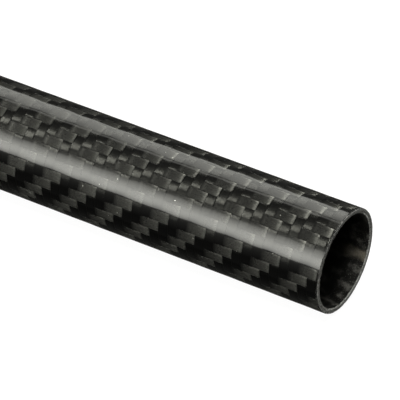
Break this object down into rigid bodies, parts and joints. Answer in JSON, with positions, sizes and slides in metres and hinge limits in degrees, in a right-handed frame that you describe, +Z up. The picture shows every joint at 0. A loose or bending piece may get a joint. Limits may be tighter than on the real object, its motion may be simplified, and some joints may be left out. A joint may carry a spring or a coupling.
{
  "type": "carbon fibre tube",
  "caption": "Round thin-walled carbon fibre tube with a glossy twill weave skin, sawn square at both ends, for frames, booms and spars.",
  "frame": {"origin": "on the tube's axis, half way between its two sawn ends", "axes": "+X along the tube towards the open end that the picture shows, +Z up; the tube lies on its -Z side"},
  "size_m": [0.5, 0.02, 0.02],
  "materials": {
    "carbon_fibre": "gloss"
  },
  "bodies": {
    "root": {"tube": "carbon_fibre"}
  },
  "joints": []
}
